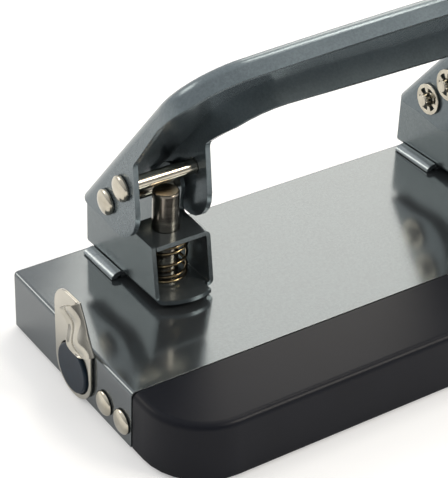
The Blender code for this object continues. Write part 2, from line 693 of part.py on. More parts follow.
def push_nut():
    # A thin ring whose inner edge is cut into teeth that grip the pin.
    grip = PIN_END_RADIUS + GAP
    star = []
    for tab in range(NUT_TABS):
        start = math.tau * tab / NUT_TABS
        pitch = math.tau / NUT_TABS
        tooth = pitch * NUT_TOOTH_SHARE
        star += arc((0, 0), grip, start, start + tooth, 2)
        star += arc((0, 0), NUT_SLOT_RADIUS, start + tooth, start + pitch, 2)
    ring = solid("nut_ring", rod(NUT_RADIUS, 0, NUT_THICKNESS, along_x))
    combine(ring, [prism(star, -OVERRUN, OVERRUN, along_x)])
    bm = bmesh.new()
    bm.from_mesh(ring.data)
    bpy.data.objects.remove(ring, do_unlink=True)
    return bm


def pin_and_nuts(head):
    # The middle pins are plain and hold a nut at each end. The outer pins have a domed head outside.
    cheek = YOKE_HALF_WIDTH + GAP
    end = YOKE_HALF_WIDTH + PIN_PROJECTION
    if head == "middle":
        half = [(PIN_RADIUS, cheek), (PIN_END_RADIUS, cheek), (PIN_END_RADIUS, end - EDGE_CHAMFER),
                (PIN_END_RADIUS - EDGE_CHAMFER, end), (0, end)]
        pin = turned([(radius, -w) for radius, w in half[::-1]] + half, place=along_x)
        return pin, {"middle_inner": mirrored(moved(push_nut(), (cheek, 0, 0))),
                     "middle_outer": moved(push_nut(), (cheek, 0, 0))}
    pin = moved(domed_pin(cheek + end, end - cheek, along_x), (-cheek, 0, 0))
    nut = moved(push_nut(), (cheek, 0, 0))
    if head == "right":
        return mirrored(pin), {head: mirrored(nut)}
    return pin, {head: nut}


def make_pins(looks, hinge):
    press_y, press_z = press_place()
    for head, x in HEADS.items():
        pin, nuts = pin_and_nuts(head)
        solid(f"pivot_pin_{head}", pin, looks["nickel"], (x, 0, PIVOT_Z))
        for name, nut in nuts.items():
            solid(f"pivot_nut_{name}", nut, looks["nickel"], (x, 0, PIVOT_Z))
        pin, nuts = pin_and_nuts(head)
        moving = [solid(f"press_pin_{head}", pin, looks["nickel"], (x, press_y, press_z))]
        for name, nut in nuts.items():
            moving.append(solid(f"press_nut_{name}", nut, looks["nickel"], (x, press_y, press_z)))
        for piece in moving:
            piece.parent = hinge


def rivet(head_radius, grip, place):
    # A rivet along +w: a dome below w = 0, a shank of the grip's length and an upset tail.
    profile = crown(head_radius, RIVET_RIM, RIVET_DOME)
    profile += [(RIVET_RADIUS, 0), (RIVET_RADIUS, grip), (RIVET_TAIL_RADIUS, grip),
                (RIVET_TAIL_RADIUS, grip + RIVET_TAIL), (0, grip + RIVET_TAIL)]
    return turned(profile, place=place, steps=ROUND_STEPS)


def down_z(u, v, w):
    return Vector((u, -v, -w))


def make_rivets(looks):
    plate_top = SLOT_HEIGHT + BRACKET_SHEET - SLOT_SLOPE_SHARE * (RIVET_BACK - RIVET_HEAD_RADIUS) + GAP
    grip = plate_top + SHEET + GAP
    for head, x in HEADS.items():
        for name, side in (("a", -1), ("b", 1)):
            solid(f"bracket_rivet_{head}_{name}", rivet(RIVET_HEAD_RADIUS, grip, down_z),
                  looks["steel"], (x + side * RIVET_SIDE, RIVET_BACK, DECK + plate_top))
    grip = SHEET + TAB_THICKNESS + 3 * GAP
    for number, name in enumerate(("rear", "front")):
        y = -END_RIVET_REAR - number * END_RIVET_PITCH
        for end, side in (("left", -1), ("right", 1)):
            body = rivet(END_RIVET_HEAD_RADIUS, grip, along_x)
            solid(f"end_rivet_{end}_{name}", mirrored(body) if end == "right" else body, looks["nickel"],
                  (side * (HALF_LENGTH + GAP), y, DECK - END_RIVET_DEPTH))


def guide_corners():
    # In (y, z) from the guide's pivot, as shares of the guide's length. The last two end the folded edge.
    corner_shares = ((0.306, 0.675, 0.206), (0.2875, -0.275, 0.2625), (-0.2625, -0.275, 0.2625),
                     (-0.2625, 0.331, 0.090), (-0.078, 0.6875, 0.020))
    return [(y * GUIDE_LENGTH, z * GUIDE_LENGTH, radius * GUIDE_LENGTH) for y, z, radius in corner_shares]


def tongue_rings(outer_face):
    # Rings along the folded edge, from its upper end down. Each wraps round the edge, swells over the
    # plate, dips and ends in a low rim. The tongue also swings in and out along its length.
    corners = guide_corners()
    upper = Vector(corners[4][:2])
    along = (Vector(corners[3][:2]) - upper).normalized()
    across = Vector((-along.y, along.x))
    centre = GUIDE_FOLD_GAP / 2
    outside = centre + GUIDE_SHEET
    long, wide = TONGUE_LENGTH_SHARE * GUIDE_LENGTH, TONGUE_WIDTH_SHARE * GUIDE_LENGTH
    reach_shares = ((0.00, 0.78, 0.5), (0.04, 0.92, 0.4), (0.10, 1.00, 0.1), (0.20, 1.00, -0.40),
                    (0.30, 1.00, -0.55), (0.40, 1.00, -0.30), (0.52, 1.00, 0.25), (0.66, 1.00, 0.65),
                    (0.80, 1.00, 0.70), (0.90, 0.94, 0.50), (0.96, 0.80, 0.20), (1.00, 0.55, 0.0))
    rings = []
    for along_share, width_share, wave_share in reach_shares:
        reach = wide * width_share
        low = GUIDE_FOLD_GAP + TONGUE_WAVE * wave_share
        high = low + GUIDE_SHEET
        ring = [(centre + outside * math.cos(angle), -outside * math.sin(angle))
                for angle in (math.pi * (1 - step / 8) for step in range(9))]
        ring += [(high + TONGUE_RIM, reach * 0.25), (high + TONGUE_RIM, reach * 0.5), (high, reach * 0.7),
                 (high - TONGUE_RIM, reach * 0.82), (high + TONGUE_RIM, reach * 0.86), (high + TONGUE_RIM, reach),
                 (low, reach), (low, reach / 2)]
        ring += [(centre + centre * math.cos(angle), -centre * math.sin(angle))
                 for angle in (math.pi * step / 8 for step in range(9))]
        ring += [(0, wide / 3), (-GUIDE_SHEET, wide / 3)]
        spot = upper + along * (long * along_share)
        rings.append([Vector((outer_face - u, *(spot + across * w))) for u, w in ring])
    return rings


def lofted(rings):
    bm = bmesh.new()
    rows = [[bm.verts.new(point) for point in ring] for ring in rings]
    for row, following in zip(rows, rows[1:]):
        for index in range(len(row)):
            bm.faces.new((row[index - 1], row[index], following[index], following[index - 1]))
    bm.faces.new(rows[0])
    bm.faces.new(rows[-1])
    bmesh.ops.triangulate(bm, faces=bm.faces)
    bmesh.ops.recalc_face_normals(bm, faces=bm.faces)
    return bm


def make_guide(looks):
    # The plate stands outside the left end, and its front edge folds over into a thumb tongue.
    inner_face = -HALF_LENGTH - GAP
    outer_face = inner_face - GUIDE_SHEET
    pivot = (0, -GUIDE_PIVOT_FORWARD, DECK - GUIDE_PIVOT_DEPTH)
    plate = prism(rounded(guide_corners(), 8), outer_face, inner_face, along_x)
    guide = solid("side_guide", plate, location=pivot)
    combine(guide, [lofted(tongue_rings(outer_face))], "UNION")
    knob_radius = KNOB_SHARE * GUIDE_LENGTH
    combine(guide, [rod(knob_radius + GAP, outer_face - GUIDE_FOLD_GAP / 2, inner_face + OVERRUN, along_x,
                        2 * ROUND_STEPS)])
    finish(guide, looks["nickel"])

    top = outer_face - KNOB_RISE
    knob = turned([(0, top), (knob_radius - KNOB_EDGE, top), (knob_radius, top + KNOB_EDGE),
                   (knob_radius, inner_face), (0, inner_face)], place=along_x, steps=2 * ROUND_STEPS)
    solid("side_guide_insert", knob, looks["inlay"], pivot)
    pin = turned([(0, inner_face + GAP), (GUIDE_PIVOT_RADIUS, inner_face + GAP),
                  (GUIDE_PIVOT_RADIUS, -HALF_LENGTH + SHEET + GAP), (GUIDE_PIVOT_HEAD, -HALF_LENGTH + SHEET + GAP),
                  (GUIDE_PIVOT_HEAD, -HALF_LENGTH + 2 * SHEET), (0, -HALF_LENGTH + 2 * SHEET)],
                 place=along_x, steps=SMALL_STEPS)
    solid("side_guide_pivot", pin, looks["steel"], pivot)


def copies(model, offset):
    for head, x in HEADS.items():
        copy = model.copy()
        copy.name = f"{model.name}_{head}"
        copy.location = (x, offset, DECK)
        bpy.context.collection.objects.link(copy)
    bpy.data.objects.remove(model, do_unlink=True)


def main():
    clear_scene()
    looks = {
        "paint": material("grey_paint", (110, 116, 119), 0.38, 0.75),
        "black": material("black_plastic", (34, 35, 40), 0.45, 0.0),
        "rubber": material("rubber", (28, 28, 30), 0.85, 0.0),
        "steel": material("bright_steel", (150, 148, 142), 0.28, 1.0),
        "nickel": material("nickel_plate", (205, 200, 186), 0.22, 1.0),
        "inlay": material("dark_inlay", (38, 48, 58), 0.35, 0.0),
    }
    make_rail(looks)
    make_platform(looks)
    make_tray(looks)
    copies(make_foot_plate(looks), 0)
    copies(make_bracket(looks), 0)
    for piece in make_punch(looks):
        copies(piece, -PUNCH_FORWARD)
    for head, x in HEADS.items():
        make_spring(f"punch_spring_{head}", x, looks["steel"])
    print("least gap between spring turns in mm:", round(least_spring_gap(spring_points()) * 1000, 3))
    hinge = bpy.data.objects.new("handle_hinge", None)
    hinge.location = (0, 0, PIVOT_Z)
    bpy.context.collection.objects.link(hinge)
    make_handle(looks, hinge)
    make_pins(looks, hinge)
    make_rivets(looks)
    make_guide(looks)


main()
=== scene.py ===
import json
import math

import bmesh
import bpy
from mathutils import Matrix, Vector

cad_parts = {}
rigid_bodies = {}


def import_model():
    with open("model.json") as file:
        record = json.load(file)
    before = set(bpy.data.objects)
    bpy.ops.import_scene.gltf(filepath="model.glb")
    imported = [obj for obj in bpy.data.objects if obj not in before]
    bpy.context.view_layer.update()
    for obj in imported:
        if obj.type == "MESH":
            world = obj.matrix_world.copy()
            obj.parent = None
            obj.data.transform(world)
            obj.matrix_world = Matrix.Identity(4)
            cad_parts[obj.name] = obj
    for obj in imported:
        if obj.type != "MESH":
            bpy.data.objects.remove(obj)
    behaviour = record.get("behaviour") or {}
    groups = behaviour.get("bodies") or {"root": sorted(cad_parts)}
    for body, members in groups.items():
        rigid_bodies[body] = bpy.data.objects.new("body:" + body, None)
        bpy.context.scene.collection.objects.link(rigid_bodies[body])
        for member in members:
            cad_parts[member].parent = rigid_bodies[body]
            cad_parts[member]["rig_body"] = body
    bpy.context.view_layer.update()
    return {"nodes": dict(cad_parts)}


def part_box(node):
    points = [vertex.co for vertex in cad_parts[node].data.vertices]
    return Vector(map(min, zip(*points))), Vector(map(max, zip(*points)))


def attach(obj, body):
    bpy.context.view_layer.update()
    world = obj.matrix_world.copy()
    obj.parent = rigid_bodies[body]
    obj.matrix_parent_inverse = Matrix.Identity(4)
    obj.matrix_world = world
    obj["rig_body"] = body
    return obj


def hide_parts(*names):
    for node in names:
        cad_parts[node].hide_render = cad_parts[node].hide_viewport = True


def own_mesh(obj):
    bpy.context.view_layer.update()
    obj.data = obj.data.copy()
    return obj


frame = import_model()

nodes = frame["nodes"]
heads = {"left": -0.108, "middle": 0.0, "right": 0.108}
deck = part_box("base_rail")[1].z


# Camera
# A long lens stands in front of the left end and above, as in the photograph.
# Its place and turn were fitted to the punch's own edges.
swing, lift, roll = math.radians(-33.32), math.radians(34.157), math.radians(1.372)
lens = bpy.data.cameras.new("camera")
lens.sensor_width = 36.0
lens.lens = 133.35
lens.shift_x = 0.0948
lens.shift_y = 0.0352
lens.clip_start = 0.01
camera = bpy.data.objects.new("camera", lens)
back = Vector((math.sin(swing) * math.cos(lift), -math.cos(swing) * math.cos(lift), math.sin(lift)))
right = Vector((math.cos(swing), math.sin(swing), 0))
up = back.cross(right)
turned_right = right * math.cos(roll) + up * math.sin(roll)
turned_up = up * math.cos(roll) - right * math.sin(roll)
turn = Matrix((turned_right, turned_up, back)).transposed().to_4x4()
stand = Vector((-0.3181, -0.3363, 0.2899))
camera.matrix_world = Matrix.Translation(stand) @ turn
bpy.context.scene.collection.objects.link(camera)
bpy.context.scene.camera = camera
bpy.context.scene.view_settings.view_transform = "Standard"


# Studio
# A white table under a white sky that is dimmer in front than behind. One large soft box behind on
# the right lies mirrored in the deck. The others light the folds and the rims.
def colour(text):
    channels = [int(text[i:i + 2], 16) / 255 for i in (0, 2, 4)]
    return [c / 12.92 if c <= 0.04045 else ((c + 0.055) / 1.055) ** 2.4 for c in channels] + [1.0]


def add(tree, kind, settings=None, links=None):
    # One shader node, with its properties or sockets set and its sockets linked by name or number.
    made = tree.nodes.new(kind)
    for name, value in (settings or {}).items():
        if isinstance(name, int) or name in made.inputs:
            made.inputs[name].default_value = value
        else:
            setattr(made, name, value)
    for name, source in (links or {}).items():
        tree.links.new(source, made.inputs[name])
    return made


world = bpy.data.worlds.new("studio")
world.use_nodes = True
bpy.context.scene.world = world
tree = world.node_tree
tree.nodes.clear()
path = add(tree, "ShaderNodeLightPath")
toward = add(tree, "ShaderNodeTexCoord").outputs["Generated"]
lit = add(tree, "ShaderNodeVectorMath", {"operation": "DOT_PRODUCT", 1: (0.10, 0.80, 0.59)}, {0: toward})
strength = add(tree, "ShaderNodeMapRange", {"From Min": -0.8, "From Max": 0.6, "To Min": 0.22, "To Max": 1.0},
               {"Value": lit.outputs["Value"]})
even = add(tree, "ShaderNodeBackground", {"Color": colour("ffffff")}, {"Strength": strength.outputs[0]})
white = add(tree, "ShaderNodeBackground", {"Color": colour("ffffff"), "Strength": 1.0})
mixed = add(tree, "ShaderNodeMixShader", None,
            {0: path.outputs["Is Camera Ray"], 1: even.outputs[0], 2: white.outputs[0]})
add(tree, "ShaderNodeOutputWorld", None, {"Surface": mixed.outputs[0]})

# Each soft box: its place, width and height in metres, and power in watts.
aim = Vector((0, -0.01, 0.03))
boxes = {"back_box": ((0.755, 0.79, 0.66), 0.78, 0.60, 4.0),
         "left_box": ((-0.80, 0.82, 0.66), 0.60, 0.42, 3.2),
         "top_box": ((0.42, 0.20, 1.03), 0.50, 0.14, 2.6),
         "front_box": ((0.45, -0.72, 0.78), 0.34, 0.26, 5.5)}
for name, (place, width, height, power) in boxes.items():
    lamp = bpy.data.lights.new(name, "AREA")
    lamp.shape = "RECTANGLE"
    lamp.size = width
    lamp.size_y = height
    lamp.energy = power
    lamp.color = colour("fff7ea")[:3]
    holder = bpy.data.objects.new(name, lamp)
    holder.location = place
    holder.rotation_euler = (aim - Vector(place)).to_track_quat("-Z", "Y").to_euler()
    bpy.context.scene.collection.objects.link(holder)

bpy.ops.object.select_all(action="DESELECT")
table_size = 6.0
bpy.ops.mesh.primitive_plane_add(size=table_size, location=(0, 0, 0))
floor = bpy.context.object
floor.name = "floor"
paper = bpy.data.materials.new("white_table")
paper.use_nodes = True
tree = paper.node_tree
tree.nodes.clear()
path = add(tree, "ShaderNodeLightPath")
matt = add(tree, "ShaderNodeBsdfDiffuse", {"Color": colour("f6f6f6")})
glow = add(tree, "ShaderNodeEmission", {"Color": colour("ffffff"), "Strength": 1.25})
# Away from the punch the table fades to pure white, and near it the shadow stays.
spot = add(tree, "ShaderNodeTexCoord").outputs["Object"]
away = add(tree, "ShaderNodeVectorMath", {"operation": "LENGTH"}, {0: spot})
fade = add(tree, "ShaderNodeMapRange", {"From Min": 0.30, "From Max": 0.80, "To Min": 0.25, "To Max": 1.0},
           {"Value": away.outputs["Value"]})
share = add(tree, "ShaderNodeMath", {"operation": "MULTIPLY"},
            {0: path.outputs["Is Camera Ray"], 1: fade.outputs[0]})
mixed = add(tree, "ShaderNodeMixShader", None, {0: share.outputs[0], 1: matt.outputs[0], 2: glow.outputs[0]})
add(tree, "ShaderNodeOutputMaterial", None, {"Surface": mixed.outputs[0]})
floor.data.materials.append(paper)


# Base rail
# A channel folded from steel sheet, with glossy grey metallic paint over it. Its cut edges are
# slightly rounded, so that each catches a thin line of light.
def flake_paint(name, dark, light, roughness):
    # Fine metal flake under a clear gloss: a soft mirror with a barely mottled tone. Its clouds are
    # 11 mm across. The flakes are drawn 0.7 mm across, coarser than real ones, so that they show.
    made = bpy.data.materials.new(name)
    made.use_nodes = True
    tree = made.node_tree
    shader = tree.nodes["Principled BSDF"]
    place = add(tree, "ShaderNodeTexCoord").outputs["Object"]
    cloud = add(tree, "ShaderNodeTexNoise", {"Scale": 90.0, "Detail": 3.0}, {"Vector": place})
    grit = add(tree, "ShaderNodeTexNoise", {"Scale": 1500.0, "Detail": 2.0, "Roughness": 0.7}, {"Vector": place})
    both = add(tree, "ShaderNodeMix", {"data_type": "FLOAT", "Factor": 0.8},
               {"A": cloud.outputs["Fac"], "B": grit.outputs["Fac"]})
    ramp = add(tree, "ShaderNodeValToRGB", None, {"Fac": both.outputs[0]})
    ramp.color_ramp.elements[0].position = 0.38
    ramp.color_ramp.elements[0].color = colour(dark)
    ramp.color_ramp.elements[1].position = 0.62
    ramp.color_ramp.elements[1].color = colour(light)
    tree.links.new(ramp.outputs["Color"], shader.inputs["Base Color"])
    shader.inputs["Metallic"].default_value = 0.8
    gloss = add(tree, "ShaderNodeMapRange", {"From Min": 0.3, "From Max": 0.7, "To Min": roughness - 0.015,
                                             "To Max": roughness + 0.02}, {"Value": cloud.outputs["Fac"]})
    tree.links.new(gloss.outputs[0], shader.inputs["Roughness"])
    bump = add(tree, "ShaderNodeBump", {"Strength": 0.05, "Distance": 0.00005}, {"Height": grit.outputs["Fac"]})
    tree.links.new(bump.outputs["Normal"], shader.inputs["Normal"])
    return made


def merged(node, name):
    # A copy of a CAD solid whose loose triangles are joined again.
    piece = bpy.data.objects.new(name, nodes[node].data.copy())
    bpy.context.scene.collection.objects.link(piece)
    bpy.ops.object.select_all(action="DESELECT")
    piece.select_set(True)
    bpy.context.view_layer.objects.active = piece
    bpy.ops.mesh.customdata_custom_splitnormals_clear()
    bpy.ops.object.mode_set(mode="EDIT")
    bpy.ops.mesh.select_all(action="SELECT")
    weld = 0.000002
    bpy.ops.mesh.remove_doubles(threshold=weld)
    bpy.ops.object.mode_set(mode="OBJECT")
    return piece


def eased(piece, node, look, edge, sharp, flat=True):
    # Rounds the edges sharper than the given angle and smooths the curves between them. Flat faces
    # keep their shading, or only those in the piece's own group of flat vertices if it has one.
    bpy.ops.object.shade_smooth_by_angle(angle=math.radians(sharp))
    bevel = piece.modifiers.new("eased_edges", "BEVEL")
    bevel.width = edge
    bevel.segments = 2
    bevel.limit_method = "ANGLE"
    bevel.angle_limit = math.radians(sharp)
    bpy.ops.object.modifier_apply(modifier="eased_edges")
    bpy.ops.object.shade_smooth_by_angle(angle=math.radians(sharp + 5))
    if flat:
        level = piece.modifiers.new("flat_faces", "WEIGHTED_NORMAL")
        level.keep_sharp = True
        level.vertex_group = "flat" if "flat" in piece.vertex_groups else ""
        bpy.ops.object.modifier_apply(modifier="flat_faces")
    piece.data.materials.clear()
    piece.data.materials.append(look)
    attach(piece, nodes[node]["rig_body"])
    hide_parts(node)


def finished(node, name, look, edge, sharp=40):
    # The CAD solid itself with its flat faces whole again and its edges eased.
    piece = merged(node, name)
    bpy.ops.object.mode_set(mode="EDIT")
    bpy.ops.mesh.dissolve_limited(angle_limit=math.radians(0.5))
    bpy.ops.object.mode_set(mode="OBJECT")
    eased(piece, node, look, edge, sharp)


base_paint = flake_paint("grey_flake_paint_base", "63686b", "676d70", 0.13)
finished("base_rail", "rail_sheet", base_paint, 0.0003)


# Front platform, chip tray and rubber strips
# Black ABS moulded with a satin gloss and a fine grain, about 0.6 mm, and two strips of matt pressed
# rubber that the punch stands on.
def mottled(name, dark, light, roughness, scale, detail):
    # A plain surface whose tone drifts a little between two colours.
    made = bpy.data.materials.new(name)
    made.use_nodes = True
    tree = made.node_tree
    shader = tree.nodes["Principled BSDF"]
    place = add(tree, "ShaderNodeTexCoord").outputs["Object"]
    tone = add(tree, "ShaderNodeTexNoise", {"Scale": scale, "Detail": detail}, {"Vector": place})
    ramp = add(tree, "ShaderNodeValToRGB", None, {"Fac": tone.outputs["Fac"]})
    ramp.color_ramp.elements[0].color = colour(dark)
    ramp.color_ramp.elements[1].color = colour(light)
    tree.links.new(ramp.outputs["Color"], shader.inputs["Base Color"])
    shader.inputs["Roughness"].default_value = roughness
    return made


black_abs = mottled("black_abs_moulding", "0a0c13", "12141c", 0.38, 60.0, 3.0)
tree = black_abs.node_tree
shader = tree.nodes["Principled BSDF"]
shader.inputs["Specular IOR Level"].default_value = 0.15
place = add(tree, "ShaderNodeTexCoord").outputs["Object"]
grain = add(tree, "ShaderNodeTexNoise", {"Scale": 1800.0, "Detail": 2.0}, {"Vector": place})
bump = add(tree, "ShaderNodeBump", {"Strength": 0.08, "Distance": 0.00008}, {"Height": grain.outputs["Fac"]})
tree.links.new(bump.outputs["Normal"], shader.inputs["Normal"])
finished("front_platform", "platform_moulding", black_abs, 0.0003)
finished("chip_tray", "tray_moulding", black_abs, 0.0003)

rubber = mottled("pressed_black_rubber", "151516", "242425", 0.85, 900.0, 4.0)
for side in ("front", "rear"):
    finished(f"foot_strip_{side}", f"rubber_strip_{side}", rubber, 0.0004)


# Foot plates and head brackets
# Pressed from the same sheet and painted with the same grey flake paint. The saddles' copy of it is
# mixed much lighter than the brackets', a painted highlight for the bright band along their rounded
# ribs. Each bracket's walls, floor and guide plate are one piece, riveted down through the saddle
# between it and the rail.
# The saddles' lighter tone is painted highlight, standing in for the light that their ribs catch.
saddle_paint_lightened_as_highlight = flake_paint("grey_flake_paint_saddles_lightened_as_painted_highlight", "848c90", "92999c", 0.26)
bracket_paint = flake_paint("grey_flake_paint_brackets", "687073", "747c7f", 0.24)
for head, x in heads.items():
    # A rounded rib at each side of the bracket, and the thin web that joins them under it. The ribs
    # fall a little towards the back.
    near, far, low, top, front, rear = 0.0093, 0.0122, 0.0003, 0.0022, -0.0030, 0.0120
    sill, web_top, web_length, lap, fall = 0.0006, 0.0008, 0.0045, 0.001, 0.028
    bow = [(far - (far - near) * (1 - math.cos(turn)), sill + (top - sill) * math.sin(turn))
           for turn in (step / 12 * math.pi / 2 for step in range(13))]
    rib = [(near, low), (far, low)] + bow
    web = [(-near - lap, low), (near + lap, low), (near + lap, web_top), (-near - lap, web_top)]
    bm = bmesh.new()
    for outline, stop in ((rib, rear), ([(-u, v) for u, v in rib[::-1]], rear), (web, front + web_length)):
        face = bm.faces.new([bm.verts.new((x + u, front, deck + v)) for u, v in outline])
        grown = bmesh.ops.extrude_face_region(bm, geom=[face])["geom"]
        bmesh.ops.translate(bm, verts=[v for v in grown if isinstance(v, bmesh.types.BMVert)],
                            vec=(0, stop - front, 0))
    for vert in bm.verts:
        if vert.co.z > deck + (low + sill) / 2:
            vert.co.z -= fall * vert.co.y
    bmesh.ops.recalc_face_normals(bm, faces=bm.faces)
    piece = merged(f"foot_plate_{head}", f"saddle_{head}")
    bm.to_mesh(piece.data)
    bm.free()
    eased(piece, f"foot_plate_{head}", saddle_paint_lightened_as_highlight, 0.0002, 40)
    finished(f"head_bracket_{head}", f"bracket_sheet_{head}", bracket_paint, 0.0003)


# Handle
# One stamping from steel sheet, whose flanges turn down all round its arched web over a soft fold.
# Its metallic paint is a little less mirror-like than the base's.
handle_paint = flake_paint("grey_flake_paint_handle", "606a6f", "6b757a", 0.23)
handle_paint.node_tree.nodes["Principled BSDF"].inputs["Metallic"].default_value = 0.6
spacing, half_yoke, reach, bar, cheek = 0.108, 0.0116, 0.0635, 0.0231, 0.0200
outer_bend, inner_bend, outer_bow, inner_bow = 0.0191, 0.0138, 0.0060, 0.0021
web_depth, arm_lean, fold, spare = 0.00778, math.radians(50.7), 0.0030, 0.00002

# The arch's outline across and up the arms, first its left half outside and inside.
level, leg, side = reach - bar, half_yoke - spacing, -spacing - half_yoke
sweep = math.pi / 2 - math.atan(2 * outer_bow / (spacing - outer_bend + half_yoke))
arch = [(side, -cheek)]
for step in range(13):
    angle = sweep * step / 12
    arch.append((side + outer_bend * (1 - math.cos(angle)), reach - outer_bend * (1 - math.sin(angle))))
start_x, start_a = arch[-1]
for step in range(1, 9):
    rest = 1 - step / 8
    arch.append((start_x * rest, start_a + (reach + outer_bow - start_a) * (1 - rest ** 2)))
window = [(leg, -cheek)]
for step in range(7):
    angle = math.pi / 2 * step / 6
    window.append((leg + inner_bend * (1 - math.cos(angle)), level - inner_bend * (1 - math.sin(angle))))
first, last = leg + inner_bend, -half_yoke - inner_bend
for step in range(1, 5):
    x = first + (last - first) * step / 5
    window.append((x, level - inner_bow * (1 - (x / first) ** 2)))
low = level - inner_bow * (1 - (last / first) ** 2)
for step in range(7):
    angle = math.pi / 2 * step / 6
    window.append((last + inner_bend * math.sin(angle), low - inner_bend * (1 - math.cos(angle))))
window.append((-half_yoke, -cheek))
outline = arch + [(-x, a) for x, a in arch[-2::-1]] + [(-x, a) for x, a in window] + window[::-1]
outline = [Vector(point) for point in outline]

# A block of that outline with a rounder fold than the CAD solid's, which trims the solid's corner.
bm = bmesh.new()
verts = []
for index, here in enumerate(outline):
    behind = (here - outline[index - 1]).normalized()
    ahead = (outline[(index + 1) % len(outline)] - here).normalized()
    outward = Vector((-behind.y, behind.x)) + Vector((-ahead.y, ahead.x))
    place = here + outward * (spare / (1 + behind.dot(ahead)))
    verts.append(bm.verts.new((place.x, place.y, -web_depth - spare)))
face = bm.faces.new(verts)
rim = list(face.edges)
grown = bmesh.ops.extrude_face_region(bm, geom=[face], use_keep_orig=True)["geom"]
bmesh.ops.translate(bm, verts=[v for v in grown if isinstance(v, bmesh.types.BMVert)], vec=(0, 0, 2 * cheek))
bmesh.ops.recalc_face_normals(bm, faces=bm.faces)
bmesh.ops.bevel(bm, geom=rim, offset=fold, segments=8, profile=0.5, affect="EDGES")
hinge = sum(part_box("pivot_pin_middle"), Vector()) / 2
bm.transform(Matrix.Translation((0, hinge.y, hinge.z)) @ Matrix.Rotation(math.pi - arm_lean, 4, "X"))
block = bpy.data.objects.new("fold_block", bpy.data.meshes.new("fold_block"))
bpy.context.scene.collection.objects.link(block)
bm.to_mesh(block.data)
bm.free()
piece = merged("handle", "handle_stamping")
trim = piece.modifiers.new("soft_fold", "BOOLEAN")
trim.operation = "INTERSECT"
trim.object = block
trim.solver = "EXACT"
bpy.ops.object.modifier_apply(modifier="soft_fold")
bpy.data.objects.remove(block, do_unlink=True)
eased(piece, "handle", handle_paint, 0.00042, 50)


# Punches, collars and dies
# Hardened tool steel, ground round, with fine rings left by the grinding wheel.
def bright_metal(name, dark, light, roughness, streak, depth):
    # Streak is the noise scale along x, y and z, so that grinding and brushing marks run one way.
    made = bpy.data.materials.new(name)
    made.use_nodes = True
    tree = made.node_tree
    shader = tree.nodes["Principled BSDF"]
    place = add(tree, "ShaderNodeTexCoord").outputs["Object"]
    drawn = add(tree, "ShaderNodeMapping", {"Scale": streak}, {"Vector": place})
    lines = add(tree, "ShaderNodeTexNoise", {"Scale": 1.0, "Detail": 4.0}, {"Vector": drawn.outputs["Vector"]})
    ramp = add(tree, "ShaderNodeValToRGB", None, {"Fac": lines.outputs["Fac"]})
    ramp.color_ramp.elements[0].position = 0.3
    ramp.color_ramp.elements[0].color = colour(dark)
    ramp.color_ramp.elements[1].position = 0.7
    ramp.color_ramp.elements[1].color = colour(light)
    tree.links.new(ramp.outputs["Color"], shader.inputs["Base Color"])
    shader.inputs["Metallic"].default_value = 1.0
    gloss = add(tree, "ShaderNodeMapRange", {"From Min": 0.3, "From Max": 0.7, "To Min": roughness - 0.04,
                                             "To Max": roughness + 0.05}, {"Value": lines.outputs["Fac"]})
    tree.links.new(gloss.outputs[0], shader.inputs["Roughness"])
    bump = add(tree, "ShaderNodeBump", {"Strength": depth, "Distance": 0.00004}, {"Height": lines.outputs["Fac"]})
    tree.links.new(bump.outputs["Normal"], shader.inputs["Normal"])
    return made


def round_again(node, name, axis, look, edge, dome=0):
    # Reads the outline that the CAD solid was turned from and turns it again in finer steps. A head
    # with a dome height gets an evenly rounded crown of that height, with the same top.
    piece = merged(node, name)
    low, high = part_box(node)
    across = (low + high) / 2
    side = 1 if axis == 0 else 0
    other = 3 - axis - side
    close, same = 0.00001, 0.000001
    bm = bmesh.new()
    bm.from_mesh(piece.data)
    kept = [v for v in bm.verts if abs(v.co[other] - across[other]) < close and v.co[side] > across[side] - close]
    bmesh.ops.delete(bm, geom=[v for v in bm.verts if v not in kept], context="VERTS")
    bmesh.ops.delete(bm, geom=list(bm.faces), context="FACES_ONLY")
    bmesh.ops.delete(bm, geom=[e for e in bm.edges if all(v.co[side] < across[side] + close for v in e.verts)],
                     context="EDGES")
    centre = [0, 0, 0]
    centre[side], centre[other] = across[side], across[other]
    if dome:
        reach = max(v.co[side] for v in bm.verts)
        rims = [v for v in bm.verts if v.co[side] > reach - same]
        outward = 1 if rims[0].co[axis] > across[axis] else -1
        rim = max(rims, key=lambda v: v.co[axis] * outward)
        tip = high[axis] if outward > 0 else low[axis]
        crown = [v for v in bm.verts if v.co[axis] * outward > rim.co[axis] * outward + same]
        bmesh.ops.delete(bm, geom=crown, context="VERTS")
        rim.co[axis] = tip - outward * dome
        for step in range(15, -1, -1):
            lean = step / 16 * math.pi / 2
            spot = rim.co.copy()
            spot[axis] = tip - outward * dome * (1 - math.cos(lean))
            spot[side] = across[side] + (reach - across[side]) * math.sin(lean)
            point = bm.verts.new(spot)
            bm.edges.new((rim, point))
            rim = point
    for end in [v for v in bm.verts if len(v.link_edges) == 1 and v.co[side] > across[side] + close]:
        middle = bm.verts.new(end.co)
        middle.co[side] = across[side]
        bm.edges.new((end, middle))
    bmesh.ops.spin(bm, geom=list(bm.verts) + list(bm.edges), cent=centre,
                   axis=[1 if i == axis else 0 for i in range(3)], angle=math.tau, steps=72, use_merge=True)
    bmesh.ops.remove_doubles(bm, verts=bm.verts, dist=same)
    bmesh.ops.recalc_face_normals(bm, faces=bm.faces)
    bm.to_mesh(piece.data)
    bm.free()
    eased(piece, node, look, edge, 40, flat=False)


tool_steel = bright_metal("ground_tool_steel", "7c756c", "a29b90", 0.20, (80.0, 80.0, 1400.0), 0.05)
for head in heads:
    round_again(f"punch_pin_{head}", f"punch_{head}", 2, tool_steel, 0.00015)
    round_again(f"die_{head}", f"die_ring_{head}", 2, tool_steel, 0.00012)
    round_again(f"spring_collar_{head}", f"collar_{head}", 2, tool_steel, 0.00012)


